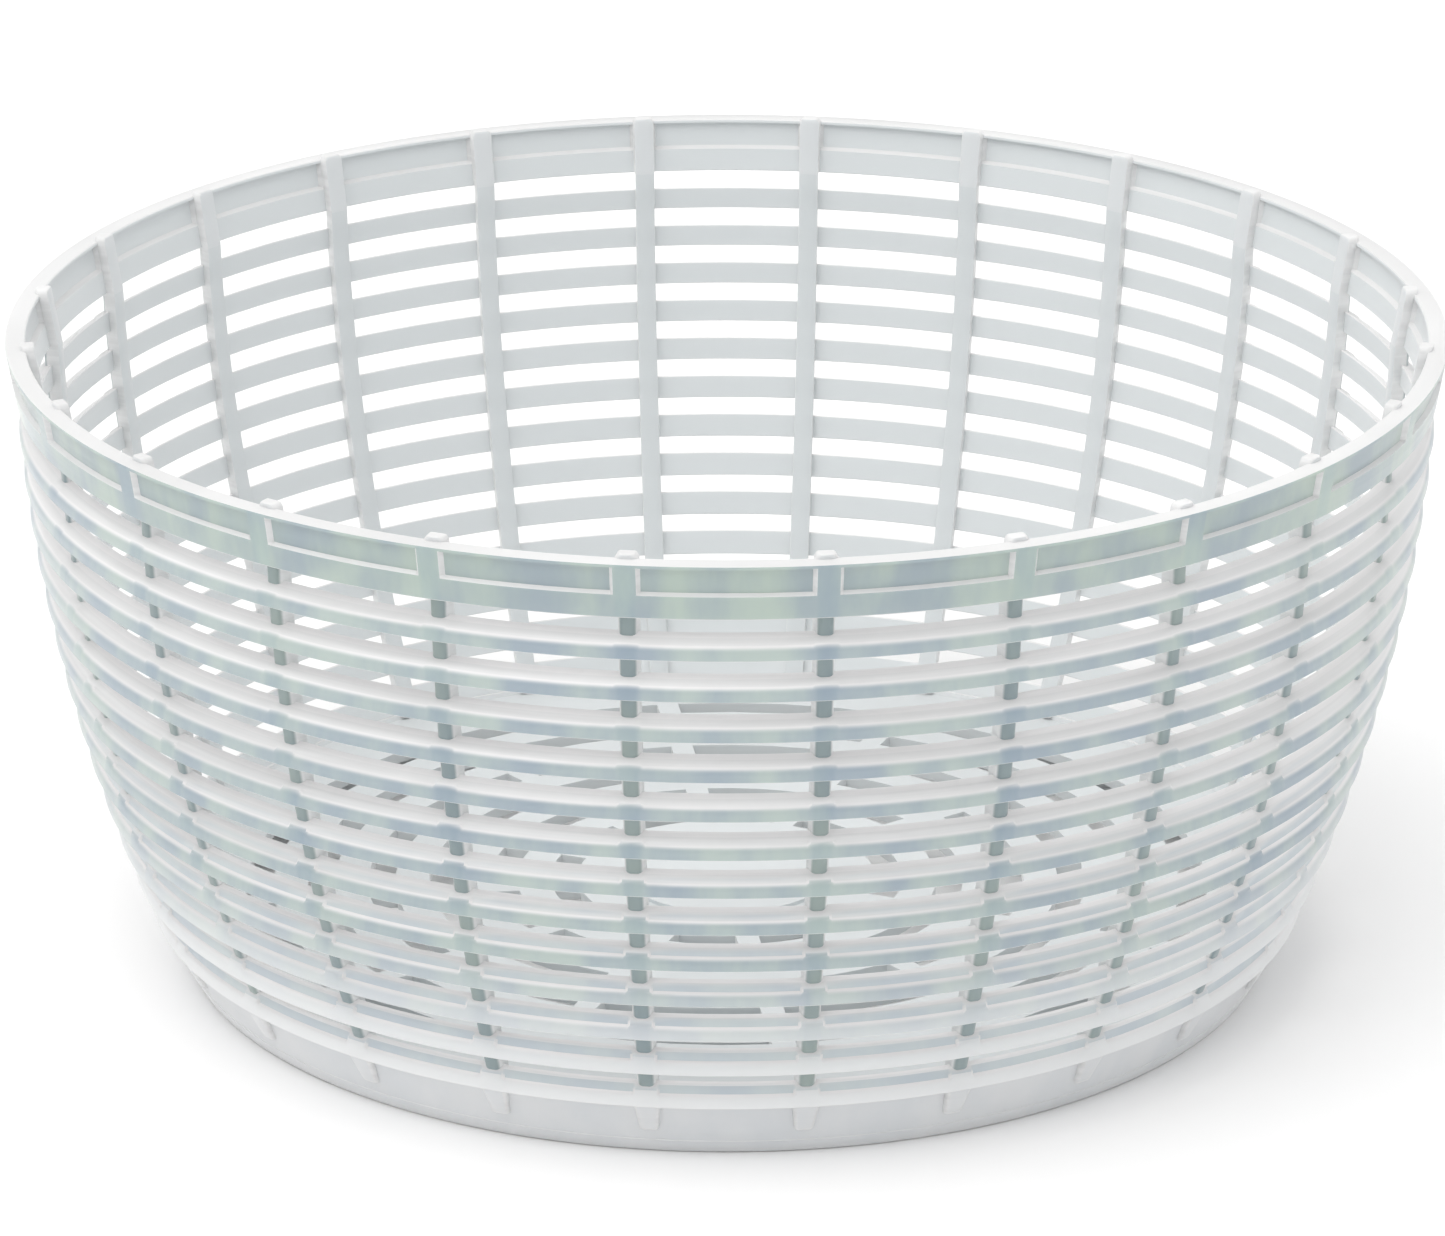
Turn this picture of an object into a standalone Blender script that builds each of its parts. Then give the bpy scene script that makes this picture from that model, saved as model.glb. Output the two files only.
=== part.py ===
# Basket of a hand salad and herb spinner, in natural polypropylene.
# Metres, +Z up, standing on z = 0 with its axis on Z. The front is -Y.
import math

import bmesh
import bpy
from mathutils import Matrix

# Overall
RIM_RADIUS = 0.0940          # outer edge of the lip
HEIGHT = 0.0861              # table to the flat top of the lip
SECTORS = 24                 # bays round the basket, and so ribs
STEPS_PER_SECTOR = 2         # flats of each hoop in one bay
CLEARANCE = 0.0003           # gap between members that touch

# Rim band
RIM_HEIGHT = 0.0072          # lip to the first slot
RIM_WALL = 0.0026            # thickness of the band
RIM_FLARE = 0.00125          # the lip stands this far out from the top of the wall
LIP_EDGE = 0.0004            # chamfer round the lip
PANEL_DEPTH = 0.0008         # recess of each panel, outside and inside
PANEL_DROP = 0.0005          # lip to the top edge of a panel
PANEL_HEIGHT = 0.0036
PAD_WIDTH = 0.0027           # full wall left standing between two panels
LUG_HEIGHT = 0.0006          # end of each rib, over the lip
LUG_REACH = 0.0006           # past the inner edge of the lip

# Slatted wall
SLAT_COUNT = 13
SLOT_TOP = 0.0025            # clear height of the highest slot
SLOT_BOTTOM = 0.0021         # and of the lowest
SLAT_DEPTH = 0.0026          # thickness of the slatted wall, radially
SLAT_FACE = 0.0014           # upright part of the outer face
SLAT_LAND = 0.0003           # flat left on the top edge
WALL_DRAFT = math.radians(2.65)
WALL_ARC = 0.214             # radius of the bowed side, seen from the front

# Ribs
RIB_WIDTH = 0.0026
RIB_SPINE = 0.0013           # radial thickness behind the slats
RIB_FRONT = 0.0010           # reach of a rib's tooth past the slats' inner face
SPINE_POINTS = 8             # points along the bowed back of a rib

# Foot
FOOT_HEIGHT = 0.0080         # table to the underside of the lowest slat
FOOT_INSET = 0.0014          # foot stands this far in from the lowest slat
FOOT_WALL = 0.0016
FOOT_DRAFT = math.radians(24)
TOOTH_HEIGHT = 0.0038        # end of each rib, over the foot
TOOTH_TOP = 0.0030           # width at the top
TOOTH_BOTTOM = 0.0016        # and at the bottom
TOOTH_INSET = 0.0003         # tooth stands this far in from the lowest slat

# Floor
FLOOR_DROP = 0.0004          # top of the floor below the top of the foot
FLOOR_THICK = 0.0016
FLOOR_SPOKES = 12
SPOKE_WIDTH = 0.0030
FLOOR_HUB = 0.0200           # radius of the plain middle
FLOOR_EDGE = 0.0040          # plain edge outside the last slot
SLOT_ROWS = 6
FLOOR_SLOT = 0.0036          # radial width of a floor slot
SOCKET_RADIUS = 0.0085
SOCKET_BORE = 0.0050
SOCKET_LIFT = 0.0010         # table to the mouth of the socket
SOCKET_ROOF = 0.0010         # thickness over the bore

WALL_TOP = HEIGHT - RIM_HEIGHT
WALL_RADIUS = RIM_RADIUS - RIM_FLARE
PITCH = (WALL_TOP - FOOT_HEIGHT) / SLAT_COUNT
FLOOR_HEIGHT = FOOT_HEIGHT - FLOOR_DROP - FLOOR_THICK
HOOP_STEPS = SECTORS * STEPS_PER_SECTOR
SECTOR_ANGLE = 2 * math.pi / SECTORS
DRAWN = 1000.0               # flat outlines are drawn this much larger


def wall_radius(z):
    """Outer radius of the bowed wall at height z."""
    slope = math.sin(WALL_DRAFT) + (WALL_TOP - z) / WALL_ARC
    return WALL_RADIUS - WALL_ARC * (math.cos(WALL_DRAFT) - math.sqrt(1 - slope * slope))


def inner_radius(z):
    """Radius of the slats' inner side, which follows the outer one."""
    return wall_radius(z) - SLAT_DEPTH


def foot_radius(z):
    """Outer radius of the tapered foot at height z."""
    return wall_radius(FOOT_HEIGHT) - FOOT_INSET - (FOOT_HEIGHT - z) * math.tan(FOOT_DRAFT)


def slot_height(index):
    """Clear height of the slot above slat number index, counted from the top."""
    return SLOT_TOP + (SLOT_BOTTOM - SLOT_TOP) * (index - 1) / (SLAT_COUNT - 1)


def slat_bottom(index):
    """Height of a slat's underside; index 0 is the underside of the rim band."""
    return WALL_TOP - index * PITCH


def slat_top(index):
    return slat_bottom(index - 1) - slot_height(index)


def rib_angle(index):
    return (index + 0.5) * SECTOR_ANGLE


def material(name, color, roughness, alpha):
    mat = bpy.data.materials.new(name)
    mat.use_nodes = True
    shader = mat.node_tree.nodes["Principled BSDF"]
    shader.inputs["Base Color"].default_value = (*color, 1.0)
    shader.inputs["Roughness"].default_value = roughness
    shader.inputs["Metallic"].default_value = 0.0
    shader.inputs["Alpha"].default_value = alpha
    mat.diffuse_color = (*color, alpha)
    return mat


def link(name, data, collection):
    obj = bpy.data.objects.new(name, data)
    collection.objects.link(obj)
    return obj


def make_cutter(obj):
    obj.hide_render = True
    obj.display_type = "WIRE"
    return obj


def turned(name, profile, collection, mat=None, solid=False):
    """Hoop from a closed profile of (radius, height) points, or a solid from an open one.

    The profile runs down its outer side. An open one starts and ends on the axis.
    """
    mesh = bpy.data.meshes.new(name)
    points = [(r, 0, z) for r, z in profile]
    edges = [(i, i + 1) for i in range(len(profile) - 1)]
    if not solid:
        edges.append((len(profile) - 1, 0))
    mesh.from_pydata(points, edges, [])
    obj = link(name, mesh, collection)
    screw = obj.modifiers.new("Turn", "SCREW")
    screw.steps = HOOP_STEPS
    screw.render_steps = HOOP_STEPS
    screw.use_merge_vertices = True
    screw.merge_threshold = 0.00001
    if mat:
        mesh.materials.append(mat)
    return obj


def blocks(name, shape, collection):
    """One block at every rib, each a cube whose corners shape() places."""
    bm = bmesh.new()
    for index in range(SECTORS):
        corners = bmesh.ops.create_cube(bm, size=2.0)["verts"]
        for vert in corners:
            vert.co = shape(vert.co.x, vert.co.y, vert.co.z)
        bmesh.ops.rotate(bm, verts=corners, matrix=Matrix.Rotation(rib_angle(index), 3, "Z"))
    mesh = bpy.data.meshes.new(name)
    bm.to_mesh(mesh)
    bm.free()
    return make_cutter(link(name, mesh, collection))


def boolean(obj, tool, operation):
    mod = obj.modifiers.new(operation.title(), "BOOLEAN")
    mod.operation = operation
    mod.solver = "EXACT"
    mod.object = tool


def flat(name, outlines, thickness, mat):
    """Flat outline with holes, drawn as a 2D curve in millimetres and made a mesh in metres."""
    curve = bpy.data.curves.new(name, "CURVE")
    curve.dimensions = "2D"
    curve.fill_mode = "BOTH"
    curve.extrude = thickness * DRAWN / 2
    for outline in outlines:
        spline = curve.splines.new("POLY")
        spline.points.add(len(outline) - 1)
        for point, (x, y) in zip(spline.points, outline):
            point.co = (x * DRAWN, y * DRAWN, 0, 1)
        spline.use_cyclic_u = True
    drawing = link(name + "_outline", curve, bpy.context.scene.collection)
    graph = bpy.context.evaluated_depsgraph_get()
    mesh = bpy.data.meshes.new_from_object(drawing.evaluated_get(graph))
    bpy.data.objects.remove(drawing, do_unlink=True)
    mesh.name = name
    bm = bmesh.new()
    bm.from_mesh(mesh)
    bmesh.ops.remove_doubles(bm, verts=bm.verts, dist=0.0001)
    bmesh.ops.scale(bm, verts=bm.verts, vec=(1 / DRAWN, 1 / DRAWN, 1 / DRAWN))
    bm.to_mesh(mesh)
    bm.free()
    mesh.materials.clear()
    mesh.materials.append(mat)
    return mesh


def arc(radius, start, end, steps):
    angles = [start + (end - start) * i / steps for i in range(steps + 1)]
    return [(radius * math.cos(a), radius * math.sin(a)) for a in angles]


def rim_radius(z):
    """Outer radius of the rim band, straight from the wall up to the lip."""
    return WALL_RADIUS + RIM_FLARE * (z - WALL_TOP) / RIM_HEIGHT


def panel_cutter(name, side, pads, collection):
    """Recesses of the panels: side 1 cuts the outside and side -1 the inside."""
    top = HEIGHT - PANEL_DROP
    bottom = top - PANEL_HEIGHT
    offset = 0 if side > 0 else RIM_WALL
    near = [(rim_radius(z) - offset - side * PANEL_DEPTH, z) for z in (top, bottom)]
    far = [(rim_radius(z) - offset + side * PANEL_DEPTH, z) for z in (top, bottom)]
    outer, inner = (far, near) if side > 0 else (near, far)
    cutter = make_cutter(turned(name, [outer[0], outer[1], inner[1], inner[0]], collection))
    boolean(cutter, pads, "DIFFERENCE")
    return cutter


def build_rim(parts, cutters, mat):
    profile = [
        (RIM_RADIUS - RIM_WALL, HEIGHT),
        (RIM_RADIUS - LIP_EDGE, HEIGHT),
        (rim_radius(HEIGHT - LIP_EDGE), HEIGHT - LIP_EDGE),
        (WALL_RADIUS, WALL_TOP),
        (WALL_RADIUS - RIM_WALL, WALL_TOP),
    ]
    rim = turned("rim_band", profile, parts, mat)

    def pad(x, y, z):
        radius = RIM_RADIUS + x * 2 * RIM_WALL
        return (radius, y * PAD_WIDTH / 2, HEIGHT - PANEL_DROP + z * 2 * PANEL_HEIGHT)

    pads = blocks("panel_pads", pad, cutters)
    boolean(rim, panel_cutter("panels_outside", 1, pads, cutters), "DIFFERENCE")
    boolean(rim, panel_cutter("panels_inside", -1, pads, cutters), "DIFFERENCE")


def build_slats(parts, mat):
    for index in range(1, SLAT_COUNT + 1):
        low = slat_bottom(index)
        high = slat_top(index)
        outer = wall_radius(low)
        face = min(SLAT_FACE, (high - low) / 2)
        profile = [
            (inner_radius(high), high),
            (inner_radius(high) + SLAT_LAND, high),
            (outer, low + face),
            (outer, low),
            (inner_radius(low), low),
        ]
        turned(f"slat_hoop_{index:02d}", profile, parts, mat)


def rib_outline():
    """Comb in radius and height: a bowed back, a lug over the lip, and a tooth in every slot."""
    low = FOOT_HEIGHT
    outline = []
    for i in range(SPINE_POINTS):
        z = low + (WALL_TOP - low) * i / (SPINE_POINTS - 1)
        outline.append((inner_radius(z) - CLEARANCE - RIB_SPINE, z))
    lip = RIM_RADIUS - RIM_WALL
    outline += [
        (lip - CLEARANCE - RIB_SPINE, HEIGHT + LUG_HEIGHT),
        (lip + LUG_REACH, HEIGHT + LUG_HEIGHT),
        (lip + LUG_REACH, HEIGHT + CLEARANCE),
        (lip - CLEARANCE, HEIGHT + CLEARANCE),
        (WALL_RADIUS - RIM_WALL - CLEARANCE, WALL_TOP - CLEARANCE),
    ]
    for index in range(1, SLAT_COUNT + 1):
        top = slat_bottom(index - 1) - CLEARANCE
        bottom = slat_top(index) + CLEARANCE
        root = low if index == SLAT_COUNT else slat_bottom(index) - CLEARANCE
        outline.append((inner_radius(top) + RIB_FRONT, top))
        outline.append((inner_radius(bottom) + RIB_FRONT, bottom))
        outline.append((inner_radius(bottom) - CLEARANCE, bottom))
        outline.append((inner_radius(root) - CLEARANCE, root))
    return outline


def build_ribs(parts, mat):
    comb = flat("rib", [rib_outline()], RIB_WIDTH, mat)
    for index in range(SECTORS):
        rib = link(f"rib_{index + 1:02d}", comb, parts)
        rib.rotation_euler = (math.pi / 2, 0, rib_angle(index))


def build_foot(parts, cutters, mat):
    top = FOOT_HEIGHT - CLEARANCE
    profile = [
        (foot_radius(top) - FOOT_WALL, top),
        (foot_radius(top), top),
        (foot_radius(0), 0),
        (foot_radius(0) - FOOT_WALL, 0),
    ]
    foot = turned("foot_ring", profile, parts, mat)
    tooth_high = top - CLEARANCE
    tooth_low = tooth_high - TOOTH_HEIGHT

    def tooth(x, y, z):
        height = tooth_high if z > 0 else tooth_low
        width = TOOTH_TOP if z > 0 else TOOTH_BOTTOM
        sunk = foot_radius(height) - FOOT_WALL / 2
        proud = wall_radius(FOOT_HEIGHT) - TOOTH_INSET if z > 0 else foot_radius(height) + TOOTH_INSET
        return (proud if x > 0 else sunk, y * width / 2, height)

    boolean(foot, blocks("tooth_blocks", tooth, cutters), "UNION")


def build_floor(parts, mat):
    radius = foot_radius(FLOOR_HEIGHT) - FOOT_WALL - CLEARANCE
    outlines = [arc(radius, 0, 2 * math.pi, HOOP_STEPS)[:-1]]
    row_pitch = (radius * math.cos(math.pi / HOOP_STEPS) - FLOOR_EDGE - FLOOR_HUB) / SLOT_ROWS
    width = min(FLOOR_SLOT, row_pitch / 1.5)
    for spoke in range(FLOOR_SPOKES):
        for row in range(SLOT_ROWS):
            inner = FLOOR_HUB + row * row_pitch
            outer = inner + width
            start = (spoke + 0.25) * 2 * math.pi / FLOOR_SPOKES
            end = start + 2 * math.pi / FLOOR_SPOKES
            near = math.asin(SPOKE_WIDTH / 2 / inner)
            far = math.asin(SPOKE_WIDTH / 2 / outer)
            slot = arc(inner, start + near, end - near, 2)
            slot += reversed(arc(outer, start + far, end - far, 2))
            outlines.append(slot)
    floor = link("floor_grid", flat("floor_grid", outlines, FLOOR_THICK, mat), parts)
    floor.location.z = FLOOR_HEIGHT + FLOOR_THICK / 2

    roof = FLOOR_HEIGHT - CLEARANCE
    profile = [
        (0.0, roof),
        (SOCKET_RADIUS, roof),
        (SOCKET_RADIUS, SOCKET_LIFT),
        (SOCKET_BORE, SOCKET_LIFT),
        (SOCKET_BORE, roof - SOCKET_ROOF),
        (0.0, roof - SOCKET_ROOF),
    ]
    turned("pivot_socket", profile, parts, mat, solid=True)


def main():
    for obj in list(bpy.data.objects):
        bpy.data.objects.remove(obj, do_unlink=True)
    parts = bpy.data.collections.new("spinner_basket")
    cutters = bpy.data.collections.new("cutters")
    bpy.context.scene.collection.children.link(parts)
    bpy.context.scene.collection.children.link(cutters)
    plastic = material("natural_plastic", (0.80, 0.85, 0.87), 0.35, 0.75)
    build_rim(parts, cutters, plastic)
    build_slats(parts, plastic)
    build_ribs(parts, plastic)
    build_foot(parts, cutters, plastic)
    build_floor(parts, plastic)


main()
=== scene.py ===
import math

import bmesh
import bpy
from mathutils import Matrix, Vector


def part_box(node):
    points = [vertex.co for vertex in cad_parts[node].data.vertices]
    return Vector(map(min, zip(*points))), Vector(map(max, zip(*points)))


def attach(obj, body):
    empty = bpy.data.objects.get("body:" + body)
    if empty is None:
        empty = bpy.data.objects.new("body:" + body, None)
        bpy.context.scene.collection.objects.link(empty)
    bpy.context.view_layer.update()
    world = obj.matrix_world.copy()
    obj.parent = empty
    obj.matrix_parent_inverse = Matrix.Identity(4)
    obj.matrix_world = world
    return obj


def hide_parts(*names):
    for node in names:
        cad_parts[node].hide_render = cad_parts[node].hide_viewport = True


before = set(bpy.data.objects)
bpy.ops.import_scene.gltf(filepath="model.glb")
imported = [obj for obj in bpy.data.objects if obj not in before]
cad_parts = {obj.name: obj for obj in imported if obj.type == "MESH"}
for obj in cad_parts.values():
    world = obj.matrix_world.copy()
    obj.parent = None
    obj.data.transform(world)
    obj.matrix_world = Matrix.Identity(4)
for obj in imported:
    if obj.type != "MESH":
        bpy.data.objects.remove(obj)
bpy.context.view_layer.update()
print("frame loaded")

basket = {
    "bays": 24,
    "firstRib": 0.5,         # ribs stand this many bays round from +X
    "wallDepth": 0.0026,     # radial thickness of the slatted wall
    "ribWidth": 0.0028,      # at the back
    "padWidth": 0.0027,      # full wall in front of each rib
    "overlap": 0.0006,       # members reach this far into each other
}
bayTurn = 2 * math.pi / basket["bays"]
slatNames = sorted(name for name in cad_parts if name.startswith("slat_hoop_"))
ribNames = sorted(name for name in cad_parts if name.startswith("rib_"))
tolerance = {
    "merge": 0.000004,       # points nearer than this become one
    "cut": 0.000001,
    "same": 0.00001,         # heights nearer than this count as equal
    "apart": 0.0001,         # ledges and rings further apart than this are separate
}


def ribTurn(number):
    return (number + basket["firstRib"]) * bayTurn


def mixed(first, second, share):
    return first + (second - first) * share


# camera, a long lens from a little above

cameraSet = {
    "lens": 184.3,
    "distance": 0.9673,      # from the axis at the height of the rim
    "elevation": 18.29,
    "aimBelow": 2.205,       # degrees under the rim's centre
    "aimLeft": 0.034,
    "aimHeight": 0.0018,     # rim centre below the lip's top
    "nearest": 0.05,
    "furthest": 20,
}


def addCamera():
    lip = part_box("rim_band")[1].z
    centre = Vector((0, 0, lip - cameraSet["aimHeight"]))
    rise = math.radians(cameraSet["elevation"])
    back = Vector((0, -math.cos(rise), math.sin(rise)))
    data = bpy.data.cameras.new("camera")
    data.lens = cameraSet["lens"]
    data.clip_start = cameraSet["nearest"]
    data.clip_end = cameraSet["furthest"]
    camera = bpy.data.objects.new("camera", data)
    bpy.context.scene.collection.objects.link(camera)
    camera.location = centre + back * cameraSet["distance"]
    camera.rotation_euler = (
        math.pi / 2 - rise - math.radians(cameraSet["aimBelow"]),
        0,
        math.radians(cameraSet["aimLeft"]),
    )
    bpy.context.scene.camera = camera


addCamera()
print("camera placed")


# natural polypropylene: milky, satin, with faint flow lines from the mould

plasticSet = {
    "alpha": 0.88,
    "refraction": 1.49,
    "roughLow": 0.28,
    "roughHigh": 0.44,
    "subsurface": 0.12,
    "scatter": 0.0012,       # how far light spreads inside, in metres
    "sheen": 0.8,
    "sheenRough": 0.35,
    "clouds": (130, 130, 45),   # mottling, per metre, longer upright
    "cloudDetail": 4,
    "cloudRange": (0.33, 0.67),
    "grain": 2600,
    "grainDetail": 2,
    "grainShare": 0.35,      # grain in the bump, beside the flow lines
    "flow": (18, 18, 900),   # flow lines lie level round the basket
    "flowDetail": 3,
    "streakRange": (0.35, 0.65),
    "streakTone": (0.90, 1.0),
    "roughRange": (0.3, 0.7),
    "bump": 0.10,
    "bumpHeight": 0.0002,
    "paleFrom": 0.032,       # painted light: the wall is painted paler below this height, standing in for light from the white table
    "paleTo": 0.010,
    "pale": (0.83, 0.84, 0.845, 1),
    "inward": (-0.95, -0.6),    # how squarely a face looks in to count as inside
    "shadeRadius": 0.085,    # middle radius of the wall, for the shade of the ribs
    "shadeFade": (0.6, 1.1),    # shares of half a pad, where that shade fades
    "shadeTint": (1.0, 1.03, 1.06),
}

# painted light and shade: walls seen square on from outside are painted darker, standing in for a
# dark inside seen through them; slopes and edges are painted lighter, as where the light falls on
# them; faces that look in are painted paler, as if lit from behind
finishSet = {
    "slatPlastic": {
        "paintedShadeFace": (0.36, 0.43, 0.49, 1), "paintedShadeMottle": (0.49, 0.57, 0.54, 1),
        "edge": (0.90, 0.89, 0.89, 1), "inside": (0.76, 0.79, 0.80, 1), "square": (0.70, 0.99),
        "ribShade": 0.90,    # painted shade on the walls in front of the ribs
    },
    "pocketPlastic": {
        "paintedShadeFace": (0.58, 0.64, 0.69, 1), "paintedShadeMottle": (0.65, 0.71, 0.72, 1),
        "edge": (0.85, 0.85, 0.85, 1), "inside": (0.76, 0.79, 0.80, 1), "square": (0.72, 0.99),
    },
    "rimPlastic": {
        "paintedShadeFace": (0.36, 0.43, 0.47, 1), "paintedShadeMottle": (0.48, 0.57, 0.51, 1),
        "edge": (0.82, 0.82, 0.82, 1), "inside": (0.76, 0.79, 0.80, 1), "square": (0.80, 0.96),
        "ribShade": 0.93,
    },
    "ribPlastic": {
        "paintedShadeFace": (0.28, 0.35, 0.37, 1), "paintedShadeMottle": (0.34, 0.41, 0.39, 1),
        "edge": (0.86, 0.87, 0.87, 1), "inside": (0.74, 0.77, 0.78, 1), "square": (0.45, 0.80),
    },
    "lugPlastic": {
        "paintedShadeFace": (0.76, 0.78, 0.79, 1), "paintedShadeMottle": (0.80, 0.81, 0.82, 1),
        "edge": (0.86, 0.86, 0.86, 1), "inside": (0.78, 0.80, 0.81, 1), "square": (0.70, 0.95),
    },
    "footPlastic": {
        "paintedShadeFace": (0.75, 0.77, 0.79, 1), "paintedShadeMottle": (0.80, 0.81, 0.82, 1),
        "edge": (0.88, 0.88, 0.88, 1), "inside": (0.76, 0.78, 0.79, 1), "square": (0.70, 0.90),
    },
    "floorPlastic": {
        "paintedShadeFace": (0.66, 0.70, 0.72, 1), "paintedShadeMottle": (0.70, 0.74, 0.75, 1),
        "edge": (0.76, 0.79, 0.80, 1), "inside": (0.72, 0.75, 0.76, 1), "square": (0.70, 0.90),
    },
}


def facing(nodes, links, place):
    # 1 on faces that look straight out from the axis, -1 on those that look in, 0 on edges; it
    # places the painted shade and light
    level = nodes.new("ShaderNodeVectorMath")
    level.operation = "MULTIPLY"
    level.inputs[1].default_value = (1, 1, 0)
    links.new(place.outputs["Object"], level.inputs[0])
    outward = nodes.new("ShaderNodeVectorMath")
    outward.operation = "NORMALIZE"
    links.new(level.outputs["Vector"], outward.inputs[0])
    surface = nodes.new("ShaderNodeNewGeometry")
    dot = nodes.new("ShaderNodeVectorMath")
    dot.operation = "DOT_PRODUCT"
    links.new(outward.outputs["Vector"], dot.inputs[0])
    links.new(surface.outputs["Normal"], dot.inputs[1])
    return dot.outputs["Value"]


def ranged(nodes, links, value, low, high, start=0.0, end=1.0):
    share = nodes.new("ShaderNodeMapRange")
    share.interpolation_type = "SMOOTHSTEP"
    share.inputs["From Min"].default_value = low
    share.inputs["From Max"].default_value = high
    share.inputs["To Min"].default_value = start
    share.inputs["To Max"].default_value = end
    links.new(value, share.inputs["Value"])
    return share.outputs["Result"]


def blended(nodes, links, factor, first, second, kind="MIX"):
    mix = nodes.new("ShaderNodeMix")
    mix.data_type = "RGBA"
    mix.blend_type = kind
    for socket, value in (("Factor", factor), ("A", first), ("B", second)):
        if isinstance(value, (tuple, float)):
            mix.inputs[socket].default_value = value
        else:
            links.new(value, mix.inputs[socket])
    return mix.outputs["Result"]


def calculated(nodes, links, operation, *values):
    step = nodes.new("ShaderNodeMath")
    step.operation = operation
    for socket, value in zip(step.inputs, values):
        if isinstance(value, (int, float)):
            socket.default_value = value
        else:
            links.new(value, socket)
    return step.outputs["Value"]


def ribBehind(nodes, links, place):
    # 1 where a rib stands behind the wall, from the angle round the axis; the mask for the painted
    # rib shade
    parts = nodes.new("ShaderNodeSeparateXYZ")
    links.new(place.outputs["Object"], parts.inputs["Vector"])
    angle = calculated(nodes, links, "ARCTAN2", parts.outputs["Y"], parts.outputs["X"])
    start = basket["bays"] + basket["firstRib"]
    bays = calculated(nodes, links, "MULTIPLY_ADD", angle, 1 / bayTurn, start)
    away = calculated(nodes, links, "PINGPONG", bays, 0.5)
    half = basket["padWidth"] / 2 / plasticSet["shadeRadius"] / bayTurn
    near, far = plasticSet["shadeFade"]
    return ranged(nodes, links, away, half * near, half * far, 1.0, 0.0)


def noiseOn(nodes, links, vector, scale, detail):
    noise = nodes.new("ShaderNodeTexNoise")
    noise.inputs["Scale"].default_value = scale
    noise.inputs["Detail"].default_value = detail
    links.new(vector, noise.inputs["Vector"])
    return noise.outputs["Fac"]


def naturalPlastic(name):
    colors = finishSet[name]
    finish = bpy.data.materials.new(name)
    finish.use_nodes = True
    nodes = finish.node_tree.nodes
    links = finish.node_tree.links
    shader = nodes["Principled BSDF"]
    shader.inputs["IOR"].default_value = plasticSet["refraction"]
    shader.inputs["Alpha"].default_value = plasticSet["alpha"]
    shader.inputs["Subsurface Weight"].default_value = plasticSet["subsurface"]
    shader.inputs["Subsurface Radius"].default_value = (1.0, 1.0, 1.0)
    shader.inputs["Subsurface Scale"].default_value = plasticSet["scatter"]
    shader.inputs["Sheen Weight"].default_value = plasticSet["sheen"]
    shader.inputs["Sheen Roughness"].default_value = plasticSet["sheenRough"]
    place = nodes.new("ShaderNodeTexCoord")
    patterns = {}
    details = {"clouds": plasticSet["cloudDetail"], "flow": plasticSet["flowDetail"]}
    for pattern, detail in details.items():
        stretch = nodes.new("ShaderNodeMapping")
        stretch.inputs["Scale"].default_value = plasticSet[pattern]
        links.new(place.outputs["Object"], stretch.inputs["Vector"])
        patterns[pattern] = noiseOn(nodes, links, stretch.outputs["Vector"], 1, detail)
    grain = noiseOn(
        nodes, links, place.outputs["Object"], plasticSet["grain"], plasticSet["grainDetail"],
    )

    mottled = ranged(nodes, links, patterns["clouds"], *plasticSet["cloudRange"])
    front = blended(nodes, links, mottled, colors["paintedShadeFace"], colors["paintedShadeMottle"])
    # painted shade: the wall is darkened where a rib stands behind it
    if "ribShade" in colors:
        shade = tuple(colors["ribShade"] * tint for tint in plasticSet["shadeTint"]) + (1,)
        behind = ribBehind(nodes, links, place)
        dark = blended(nodes, links, behind, (1.0, 1.0, 1.0, 1.0), shade)
        front = blended(nodes, links, 1.0, front, dark, "MULTIPLY")
    # painted light: the slat faces are painted paler towards the bottom
    if name == "slatPlastic":
        height = nodes.new("ShaderNodeSeparateXYZ")
        links.new(place.outputs["Object"], height.inputs["Vector"])
        low, high = plasticSet["paleTo"], plasticSet["paleFrom"]
        paintedLowLight = ranged(nodes, links, height.outputs["Z"], low, high, 1.0, 0.0)
        front = blended(nodes, links, paintedLowLight, front, plasticSet["pale"])
    streakLimits = plasticSet["streakRange"] + plasticSet["streakTone"]
    streaks = ranged(nodes, links, patterns["flow"], *streakLimits)
    slope = blended(nodes, links, 1.0, colors["edge"], streaks, "MULTIPLY")
    # painted shade on faces seen square on, painted light on slopes and edges, paler paint on faces
    # that look in
    side = facing(nodes, links, place)
    outside = ranged(nodes, links, side, *colors["square"])
    inside = ranged(nodes, links, side, *plasticSet["inward"], 1.0, 0.0)
    body = blended(nodes, links, outside, slope, front)
    body = blended(nodes, links, inside, body, colors["inside"])
    links.new(body, shader.inputs["Base Color"])

    roughLimits = plasticSet["roughRange"] + (plasticSet["roughLow"], plasticSet["roughHigh"])
    rough = ranged(nodes, links, patterns["flow"], *roughLimits)
    links.new(rough, shader.inputs["Roughness"])
    bump = nodes.new("ShaderNodeBump")
    bump.inputs["Strength"].default_value = plasticSet["bump"]
    bump.inputs["Distance"].default_value = plasticSet["bumpHeight"]
    relief = calculated(
        nodes, links, "MULTIPLY_ADD", grain, plasticSet["grainShare"], patterns["flow"],
    )
    links.new(relief, bump.inputs["Height"])
    links.new(bump.outputs["Normal"], shader.inputs["Normal"])
    return finish


finishes = {name: naturalPlastic(name) for name in finishSet}
print("plastics ready")


# shared steps

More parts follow.
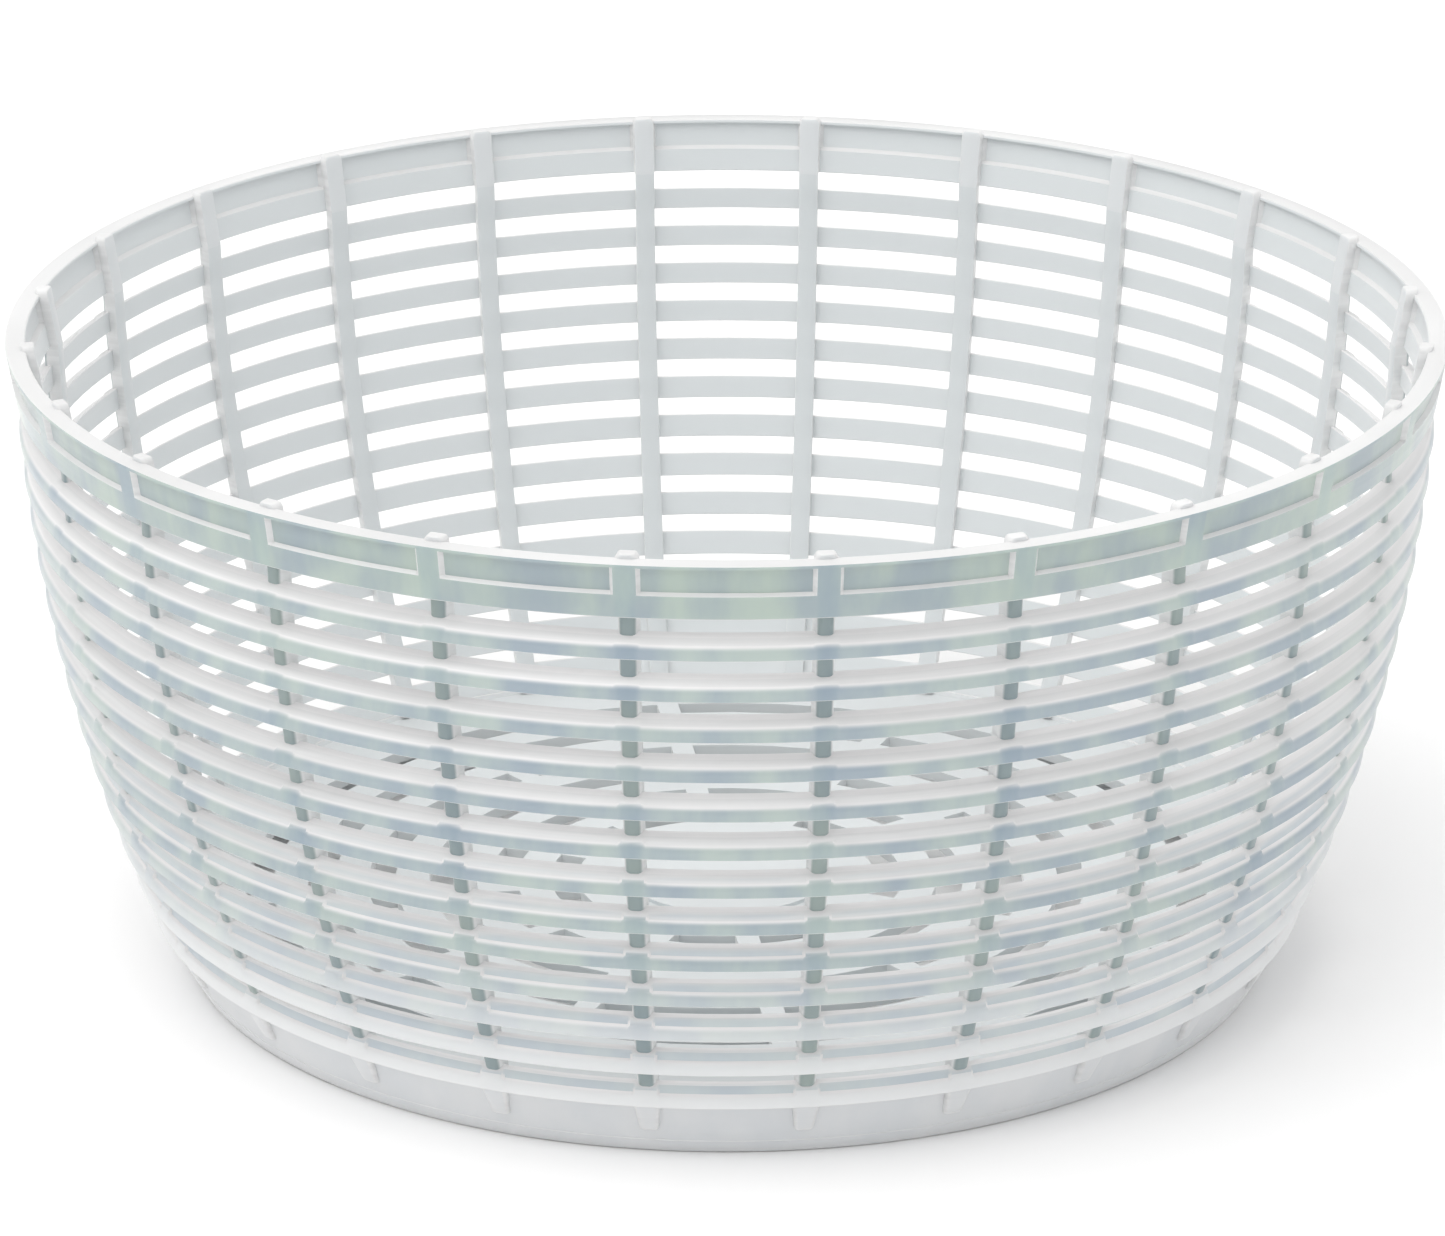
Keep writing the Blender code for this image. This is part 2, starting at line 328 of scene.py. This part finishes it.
def addPiece(bm, name, node, *finishNames, sharpAngle=32):
    bmesh.ops.remove_doubles(bm, verts=bm.verts, dist=tolerance["merge"])
    bmesh.ops.recalc_face_normals(bm, faces=bm.faces)
    mesh = bpy.data.meshes.new(name)
    bm.to_mesh(mesh)
    bm.free()
    for finish in finishNames:
        mesh.materials.append(finishes[finish])
    mesh.shade_smooth()
    mesh.set_sharp_from_angle(angle=math.radians(sharpAngle))
    piece = bpy.data.objects.new(name, mesh)
    bpy.context.scene.collection.objects.link(piece)
    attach(piece, "root")
    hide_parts(node)


def vertsOf(geometry):
    return [item for item in geometry if isinstance(item, bmesh.types.BMVert)]


def repeatRound(bm, geometry, count):
    # copies of what is there, evenly round the axis
    for number in range(1, count):
        made = bmesh.ops.duplicate(bm, geom=geometry)["geom"]
        spun = Matrix.Rotation(number * 2 * math.pi / count, 3, "Z")
        bmesh.ops.rotate(bm, verts=vertsOf(made), matrix=spun)


def closedOutline(bm, outline):
    verts = [bm.verts.new((radius, 0, height)) for radius, height in outline]
    edges = [bm.edges.new((verts[i - 1], verts[i])) for i in range(len(verts))]
    return verts, edges


def spinByBay(padOutline, bayOutline, padTurn, sideTurn, padSteps=2, baySteps=6):
    # a closed hoop: one outline in front of each rib, another between ribs,
    # and short slopes joining them
    bm = bmesh.new()
    order = bm.verts.layers.int.new("order")
    verts, edges = closedOutline(bm, padOutline)
    for number, vert in enumerate(verts):
        vert[order] = number
    turned = ribTurn(0) - padTurn / 2
    bmesh.ops.rotate(bm, verts=verts, matrix=Matrix.Rotation(turned, 3, "Z"))
    last = verts + edges
    stretches = (
        (padOutline, padTurn, padSteps),
        (bayOutline, sideTurn, 1),
        (bayOutline, bayTurn - padTurn - 2 * sideTurn, baySteps),
        (padOutline, sideTurn, 1),
    )
    for outline, turn, steps in stretches:
        spun = bmesh.ops.spin(bm, geom=last, cent=(0, 0, 0), axis=(0, 0, 1), angle=turn, steps=steps)
        last = spun["geom_last"]
        turned += turn
        for vert in vertsOf(last):
            radius, height = outline[vert[order]]
            vert.co = (radius * math.cos(turned), radius * math.sin(turned), height)
    repeatRound(bm, bm.verts[:] + bm.edges[:] + bm.faces[:], basket["bays"])
    return bm


def spinFull(outline, steps):
    bm = bmesh.new()
    verts, edges = closedOutline(bm, outline)
    bmesh.ops.spin(
        bm, geom=verts + edges, cent=(0, 0, 0), axis=(0, 0, 1),
        angle=2 * math.pi, steps=steps, use_merge=True,
    )
    return bm


def roundEdges(bm, edges, radius, segments):
    return bmesh.ops.bevel(
        bm, geom=edges, offset=radius, affect="EDGES",
        segments=segments, profile=0.5, material=-1,
    )


def cutLevel(bm, height):
    everything = bm.verts[:] + bm.edges[:] + bm.faces[:]
    bmesh.ops.bisect_plane(
        bm, geom=everything, dist=tolerance["cut"],
        plane_co=(0, 0, height), plane_no=(0, 0, 1),
    )


# the bowed wall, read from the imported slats

rimSet = {
    "flare": 0.00125,        # lip beyond the foot of the rim band
    "wall": 0.0026,
    "lipRound": 0.00028,
    "lipBend": 0.3,          # middle of that rounding, as a share of it
    "edgeRound": 0.00012,
    "panelTop": 0.00044,     # below the lip
    "panelFloor": 0.00376,
    "panelFoot": 0.00411,
    "panelDepth": 0.00068,
    "panelDraft": 0.00008,
    "padTurn": 1.7,          # degrees of full wall in front of each rib
    "sideTurn": 0.30,
    "baySteps": 8,
}
rimLow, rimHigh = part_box("rim_band")
wallTop = rimLow.z
lipTop = rimHigh.z
lipRadius = rimHigh.x
wallPoints = [(wallTop, lipRadius - rimSet["flare"])]
wallPoints += [(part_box(name)[0].z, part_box(name)[1].x) for name in slatNames]


def wallRadius(height):
    upper, lower = wallPoints[0], wallPoints[1]
    for pair in zip(wallPoints, wallPoints[1:]):
        if height <= pair[0][0]:
            upper, lower = pair
    share = (height - lower[0]) / (upper[0] - lower[0])
    return mixed(lower[1], upper[1], share)


def innerRadius(height):
    return wallRadius(height) - basket["wallDepth"]


def rimRadius(height):
    return lipRadius - rimSet["flare"] * (lipTop - height) / (lipTop - wallTop)


def rimOutline(depth):
    # down the outside, under, and up the inside; depth sinks the panels on both faces
    draft = rimSet["panelDraft"] if depth else 0
    small = rimSet["edgeRound"]
    panelTop = lipTop - rimSet["panelTop"]
    panelFloor = lipTop - rimSet["panelFloor"]
    panelFoot = lipTop - rimSet["panelFoot"]
    inner = rimSet["wall"]
    lipBend = rimSet["lipRound"] * rimSet["lipBend"]
    points = [
        (rimSet["lipRound"], lipTop),
        (lipBend, lipTop - lipBend),
        (0, lipTop - rimSet["lipRound"]),
        (0, panelTop),
        (depth, panelTop - draft),
        (depth, panelFloor),
        (0, panelFoot),
        (0, wallTop + small),
        (small, wallTop),
        (inner - small, wallTop),
        (inner, wallTop + small),
        (inner, panelFoot),
        (inner - depth, panelFloor),
        (inner - depth, panelTop - draft),
        (inner, panelTop),
        (inner, lipTop - small),
        (inner - small, lipTop),
    ]
    return [(rimRadius(height) - inset, height) for inset, height in points]


def buildRim():
    padTurn = math.radians(rimSet["padTurn"])
    sideTurn = math.radians(rimSet["sideTurn"])
    padOutline, bayOutline = rimOutline(0), rimOutline(rimSet["panelDepth"])
    bm = spinByBay(padOutline, bayOutline, padTurn, sideTurn, baySteps=rimSet["baySteps"])
    addPiece(bm, "panelled_rim", "rim_band", "rimPlastic")


buildRim()
print("rim built")


# slats: outlines as shares of the slat's own depth and height, from the outer face inwards

slatSet = {
    "pad": [
        (0.00, 0.03), (0.00, 0.31), (0.014, 0.40), (0.035, 0.48), (0.07, 0.555), (0.115, 0.62),
        (0.18, 0.69), (0.33, 0.785), (0.57, 0.875), (0.82, 0.945), (0.94, 1.00),
    ],
    "plain": [
        (0.00, 0.03), (0.00, 0.30), (0.015, 0.38), (0.04, 0.46), (0.08, 0.53), (0.13, 0.585),
        (0.20, 0.645), (0.36, 0.735), (0.62, 0.845), (0.86, 0.93), (0.95, 1.00),
    ],
    "pocket": [
        (0.00, 0.03), (0.00, 0.14), (0.02, 0.26), (0.06, 0.36), (0.13, 0.44), (0.26, 0.51),
        (0.40, 0.565), (0.46, 0.73), (0.53, 0.88), (0.68, 0.96), (0.92, 1.00),
    ],
    "pocketWall": (7, 9),    # first and last of those points on the pocket's own wall
    "edgeRound": 0.00012,
    "firstPocket": 3,        # slats above this one have hardly any pocket
    "lastPocket": 12,
    "side": 0.00038,         # slope between a pad and a pocket
}


def slatOutline(low, high, points):
    small = slatSet["edgeRound"]
    outer = wallRadius(low)
    depth = outer - innerRadius(high)
    outline = [(outer - small, low)]
    for inset, rise in points:
        outline.append((outer - inset * depth, mixed(low, high, rise)))
    outline += [
        (innerRadius(high - small), high - small),
        (innerRadius(low + small), low + small),
        (innerRadius(low) + small, low),
    ]
    return outline


def buildSlats():
    for number, name in enumerate(slatNames, start=1):
        low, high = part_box(name)[0].z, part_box(name)[1].z
        span = slatSet["lastPocket"] - slatSet["firstPocket"]
        pocket = min(max((number - slatSet["firstPocket"]) / span, 0.0), 1.0)
        radius = wallRadius(low)
        pairs = zip(slatSet["plain"], slatSet["pocket"])
        bay = [(mixed(a[0], b[0], pocket), mixed(a[1], b[1], pocket)) for a, b in pairs]
        bm = spinByBay(
            slatOutline(low, high, slatSet["pad"]),
            slatOutline(low, high, bay),
            basket["padWidth"] / radius,
            slatSet["side"] / radius,
        )
        order = bm.verts.layers.int["order"]
        first, last = slatSet["pocketWall"]
        for face in bm.faces:
            face.material_index = int(all(first <= vert[order] <= last for vert in face.verts))
        addPiece(bm, f"slat_{number:02d}", name, "slatPlastic", "pocketPlastic", sharpAngle=28)


buildSlats()
print("slats built")


# ribs: one bowed bar, rounded in front, ending in a lug over the lip

ribSet = {
    "front": 0.00105,        # past the slats' inner plane
    "back": 0.0012,          # behind it
    "frontWidth": 0.0022,
    "frontRound": 0.0009,
    "backRound": 0.0003,
    "lugFront": 0.0006,      # reach over the lip
    "lugBase": 0.0030,
    "lugTop": 0.0024,
    "lugRound": 0.0002,
    "lugStart": 0.0001,      # above the top of the slats
    "frontSteps": 5,
    "backSteps": 2,
    "lugSteps": 3,
    "levels": 42,
}


def ribBar(low, high):
    bm = bmesh.new()
    bmesh.ops.create_cube(bm, size=1.0)
    depth = ribSet["front"] + ribSet["back"]
    size = (depth, basket["ribWidth"], high - low)
    bmesh.ops.scale(bm, verts=bm.verts, vec=size)
    middle = ((ribSet["front"] - ribSet["back"]) / 2, 0, (low + high) / 2)
    bmesh.ops.translate(bm, verts=bm.verts, vec=middle)
    upright = [e for e in bm.edges if abs(e.verts[0].co.z - e.verts[1].co.z) > depth]
    front = [e for e in upright if e.verts[0].co.x > 0]
    back = [e for e in upright if e.verts[0].co.x < 0]
    roundEdges(bm, back, ribSet["backRound"], ribSet["backSteps"])
    front = [e for e in front if e.is_valid]
    roundEdges(bm, front, ribSet["frontRound"], ribSet["frontSteps"])
    top = [e for e in bm.edges if all(v.co.z > high - tolerance["same"] for v in e.verts)]
    roundEdges(bm, top, ribSet["lugRound"], ribSet["lugSteps"])
    for level in range(1, ribSet["levels"]):
        cutLevel(bm, mixed(low, high, level / ribSet["levels"]))
    for height in (wallTop, wallTop + basket["overlap"], lipTop):
        cutLevel(bm, height)
    return bm


def bendRib(bm, high):
    for vert in bm.verts:
        reach, side, height = vert.co
        forward = (reach + ribSet["back"]) / (ribSet["front"] + ribSet["back"])
        frontWidth = ribSet["frontWidth"]
        front = ribSet["front"]
        if height > wallTop + ribSet["lugStart"]:
            frontWidth = ribSet["lugBase"]
            front = ribSet["lugFront"]
        if height > lipTop + tolerance["same"]:
            rise = (height - lipTop) / (high - lipTop)
            frontWidth = mixed(ribSet["lugBase"], ribSet["lugTop"], rise)
            side *= mixed(1.0, ribSet["lugTop"] / ribSet["lugBase"], rise)
        inner = innerRadius(height) if height < wallTop else rimRadius(height) - rimSet["wall"]
        width = mixed(basket["ribWidth"], frontWidth, forward)
        radius = inner - ribSet["back"] + forward * (front + ribSet["back"])
        vert.co = (radius, side * width / basket["ribWidth"], height)


def buildRibs():
    low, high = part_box("rib_01")[0].z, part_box("rib_01")[1].z
    bar = ribBar(low, high)
    bendRib(bar, high)
    for face in bar.faces:
        face.material_index = 1 if face.calc_center_median().z > wallTop else 0
    for number, name in enumerate(ribNames):
        bm = bar.copy()
        bmesh.ops.rotate(bm, verts=bm.verts, matrix=Matrix.Rotation(ribTurn(number), 3, "Z"))
        addPiece(bm, f"upright_{number + 1:02d}", name, "ribPlastic", "lugPlastic", sharpAngle=40)
    bar.free()


buildRibs()
print("ribs built")


# foot: a tapered ring with a low band, and the ribs' pointed ends on it

footSet = {
    "inset": 0.0014,         # in from the lowest slat
    "wall": 0.0016,
    "draft": 24,
    "band": 0.0019,          # height of the band at the bottom
    "bandProud": 0.00006,
    "round": 0.0002,
    "toothDrop": 0.0044,
    "toothTop": 0.0034,
    "toothFoot": 0.0024,
    "toothInset": 0.0003,
    "toothProud": 0.0006,
    "toothRound": 0.00055,
    "toothSunk": 0.0013,     # into the ring
    "toothSteps": 3,
    "steps": 192,
}
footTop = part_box(slatNames[-1])[0].z
footHigh = footTop + basket["overlap"] / 4   # a little way into the lowest slat


def footRadius(height):
    slope = math.tan(math.radians(footSet["draft"]))
    return wallRadius(footTop) - footSet["inset"] - (footTop - height) * slope


def footTooth(bm, turn):
    low = footTop - footSet["toothDrop"]
    made = bmesh.ops.create_cube(bm, size=1.0)["verts"]
    for vert in made:
        upper = vert.co.z > 0
        height = footHigh if upper else low
        width = footSet["toothTop"] if upper else footSet["toothFoot"]
        proud = footRadius(low) + footSet["toothProud"]
        if upper:
            proud = wallRadius(footTop) - footSet["toothInset"]
        sunk = footRadius(height) - footSet["toothSunk"]
        vert.co = (proud if vert.co.x > 0 else sunk, vert.co.y * width, height)
    edges = {edge for vert in made for edge in vert.link_edges}
    near = tolerance["same"]
    outside = [e for e in edges if not all(abs(v.co.z - footHigh) < near for v in e.verts)]
    rounded = roundEdges(bm, outside, footSet["toothRound"], footSet["toothSteps"])
    verts = set(vertsOf(rounded["verts"])) | {v for v in made if v.is_valid}
    bmesh.ops.rotate(bm, verts=list(verts), matrix=Matrix.Rotation(turn, 3, "Z"))


def buildFoot():
    band = footSet["band"]
    small = footSet["round"]
    wall = footSet["wall"]
    outline = [
        (footRadius(footHigh), footHigh),
        (footRadius(band), band),
        (footRadius(band) + footSet["bandProud"], band - footSet["bandProud"]),
        (footRadius(small) + footSet["bandProud"], small),
        (footRadius(0) - small / 2, 0),
        (footRadius(0) - wall + small / 2, 0),
        (footRadius(small) - wall, small),
        (footRadius(footHigh) - wall, footHigh),
    ]
    bm = spinFull(outline, footSet["steps"])
    for number in range(basket["bays"]):
        footTooth(bm, ribTurn(number))
    addPiece(bm, "foot", "foot_ring", "footPlastic", sharpAngle=30)


buildFoot()
print("foot built")


# floor: a slotted disc on twelve spokes, with a plain middle

floorSet = {
    "spokes": 12,
    "spokeWidth": 0.0030,
    "hub": 0.0200,
    "edge": 0.0040,
    "rows": 6,
    "slot": 0.0036,
    "slotShare": 1.5,        # rows are at least this many slots apart
    "reach": 0.0012,         # into the foot
    "steps": 6,
    "hubRing": 0.0125,       # low ring moulded on the plain middle
    "hubRingWidth": 0.0012,
    "hubRingRise": 0.0005,
}


def buildFloor():
    low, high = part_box("floor_grid")
    radius = high.x + floorSet["reach"]
    thick = high.z - low.z
    pitch = (high.x - floorSet["edge"] - floorSet["hub"]) / floorSet["rows"]
    width = min(floorSet["slot"], pitch / floorSet["slotShare"])
    rings = [0.0, floorSet["hubRing"], floorSet["hubRing"] + floorSet["hubRingWidth"]]
    for row in range(floorSet["rows"]):
        rings += [floorSet["hub"] + row * pitch, floorSet["hub"] + row * pitch + width]
    rings.append(radius)
    sector = 2 * math.pi / floorSet["spokes"]
    bm = bmesh.new()
    verts = [bm.verts.new((ring, 0, high.z)) for ring in rings]
    edges = [bm.edges.new(pair) for pair in zip(verts, verts[1:])]
    spokeStart = sector / 4
    bmesh.ops.rotate(bm, verts=verts, matrix=Matrix.Rotation(spokeStart, 3, "Z"))
    steps = floorSet["steps"]
    made = bmesh.ops.spin(
        bm, geom=verts + edges, cent=(0, 0, 0), axis=(0, 0, 1), angle=sector, steps=steps,
    )
    for vert in bm.verts:
        ring = vert.co.xy.length
        if ring < floorSet["hub"] - tolerance["apart"]:
            continue
        turn = math.atan2(vert.co.y, vert.co.x) - spokeStart
        side = math.asin(min(floorSet["spokeWidth"] / 2 / ring, 1.0))
        step = round(turn / (sector / steps))
        if step in (0, steps):
            continue
        turn = mixed(side, sector - side, (step - 1) / (steps - 2))
        vert.co.x = ring * math.cos(turn + spokeStart)
        vert.co.y = ring * math.sin(turn + spokeStart)
    holes = []
    for face in bm.faces:
        centre = face.calc_center_median()
        ring = centre.xy.length
        turn = math.atan2(centre.y, centre.x) - spokeStart
        share = (ring - floorSet["hub"]) / pitch
        inRow = 0 <= share < floorSet["rows"] and (share % 1) * pitch < width
        side = math.asin(min(floorSet["spokeWidth"] / 2 / ring, 1.0))
        if inRow and side < turn < sector - side:
            holes.append(face)
    bmesh.ops.delete(bm, geom=holes, context="FACES")
    repeatRound(bm, bm.verts[:] + bm.edges[:] + bm.faces[:], floorSet["spokes"])
    bmesh.ops.remove_doubles(bm, verts=bm.verts, dist=tolerance["merge"])
    bmesh.ops.recalc_face_normals(bm, faces=bm.faces)
    top = bm.faces[:]
    ringFaces = []
    for face in top:
        if face.normal.z < 0:
            face.normal_flip()
        distance = face.calc_center_median().xy.length
        if floorSet["hubRing"] < distance < floorSet["hubRing"] + floorSet["hubRingWidth"]:
            ringFaces.append(face)
    lower = bmesh.ops.extrude_face_region(bm, geom=top, use_keep_orig=True)
    bmesh.ops.translate(bm, verts=vertsOf(lower["geom"]), vec=(0, 0, -thick))
    raised = bmesh.ops.extrude_face_region(bm, geom=ringFaces)
    bmesh.ops.translate(bm, verts=vertsOf(raised["geom"]), vec=(0, 0, floorSet["hubRingRise"]))
    bmesh.ops.delete(bm, geom=[f for f in ringFaces if f.is_valid], context="FACES_ONLY")
    addPiece(bm, "floor", "floor_grid", "floorPlastic", sharpAngle=30)


buildFloor()
print("floor built")


# socket under the floor, where the basket turns on its pivot

socketSet = {
    "bore": 0.0050,
    "roof": 0.0010,
    "round": 0.0004,
    "steps": 64,
}


def buildSocket():
    low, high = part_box("pivot_socket")
    outer = high.x
    top = high.z + basket["overlap"]
    small = socketSet["round"]
    roof = high.z - socketSet["roof"]
    outline = [
        (0, top),
        (outer + small, top),
        (outer + small, high.z),
        (outer, high.z - small),
        (outer, low.z + small),
        (outer - small, low.z),
        (socketSet["bore"] + small, low.z),
        (socketSet["bore"], low.z + small),
        (socketSet["bore"], roof - small),
        (socketSet["bore"] - small, roof),
        (0, roof),
    ]
    bm = bmesh.new()
    verts = [bm.verts.new((radius, 0, height)) for radius, height in outline]
    edges = [bm.edges.new(pair) for pair in zip(verts, verts[1:])]
    bmesh.ops.spin(
        bm, geom=verts + edges, cent=(0, 0, 0), axis=(0, 0, 1),
        angle=2 * math.pi, steps=socketSet["steps"], use_merge=True,
    )
    addPiece(bm, "pivot_socket_moulding", "pivot_socket", "floorPlastic", sharpAngle=30)


buildSocket()
print("socket built")


# white table, soft overhead light, and a sky that is dimmer low in front

studioSet = {
    "tableSize": 8.0,
    "tableColor": (0.93, 0.93, 0.93, 1),
    "tableRough": 0.6,
    "tableGloss": 0.2,
    "tableDrop": 0.0001,     # below the foot
    "sun": 1.3,
    "sunSize": 50,           # degrees across, for a soft shadow
    "sunTilt": (25, 0, -40),   # from the front and the left, high up
    "sunColor": (1.0, 0.985, 0.97),
    "skyFront": (0.37, 0.40, 0.42, 1),   # low in front
    "skySide": (1.02, 1.02, 1.02, 1),
    "skyHigh": (0.95, 0.95, 0.95, 1),
    "skyAround": (-0.85, 0.05),   # from the front round to the sides
    "skyUpward": (0.08, 0.50),
}


def addTable():
    bm = bmesh.new()
    bmesh.ops.create_grid(bm, x_segments=2, y_segments=2, size=studioSet["tableSize"] / 2)
    mesh = bpy.data.meshes.new("table")
    bm.to_mesh(mesh)
    bm.free()
    finish = bpy.data.materials.new("table_white")
    finish.use_nodes = True
    shader = finish.node_tree.nodes["Principled BSDF"]
    shader.inputs["Base Color"].default_value = studioSet["tableColor"]
    shader.inputs["Roughness"].default_value = studioSet["tableRough"]
    shader.inputs["Specular IOR Level"].default_value = studioSet["tableGloss"]
    mesh.materials.append(finish)
    table = bpy.data.objects.new("table", mesh)
    bpy.context.scene.collection.objects.link(table)
    table.location.z = -studioSet["tableDrop"]


def addSun():
    data = bpy.data.lights.new("overhead", "SUN")
    data.energy = studioSet["sun"]
    data.angle = math.radians(studioSet["sunSize"])
    data.color = studioSet["sunColor"]
    lamp = bpy.data.objects.new("overhead", data)
    bpy.context.scene.collection.objects.link(lamp)
    lamp.rotation_euler = [math.radians(turn) for turn in studioSet["sunTilt"]]


def addSky():
    world = bpy.data.worlds.new("studio")
    bpy.context.scene.world = world
    world.use_nodes = True
    nodes = world.node_tree.nodes
    links = world.node_tree.links
    place = nodes.new("ShaderNodeTexCoord")
    parts = nodes.new("ShaderNodeSeparateXYZ")
    links.new(place.outputs["Generated"], parts.inputs["Vector"])
    around = ranged(nodes, links, parts.outputs["Y"], *studioSet["skyAround"])
    upward = ranged(nodes, links, parts.outputs["Z"], *studioSet["skyUpward"])
    low = blended(nodes, links, around, studioSet["skyFront"], studioSet["skySide"])
    sky = blended(nodes, links, upward, low, studioSet["skyHigh"])
    links.new(sky, nodes["Background"].inputs["Color"])


addTable()
addSun()
addSky()
bpy.context.scene.view_settings.view_transform = "Standard"
print("studio lit")
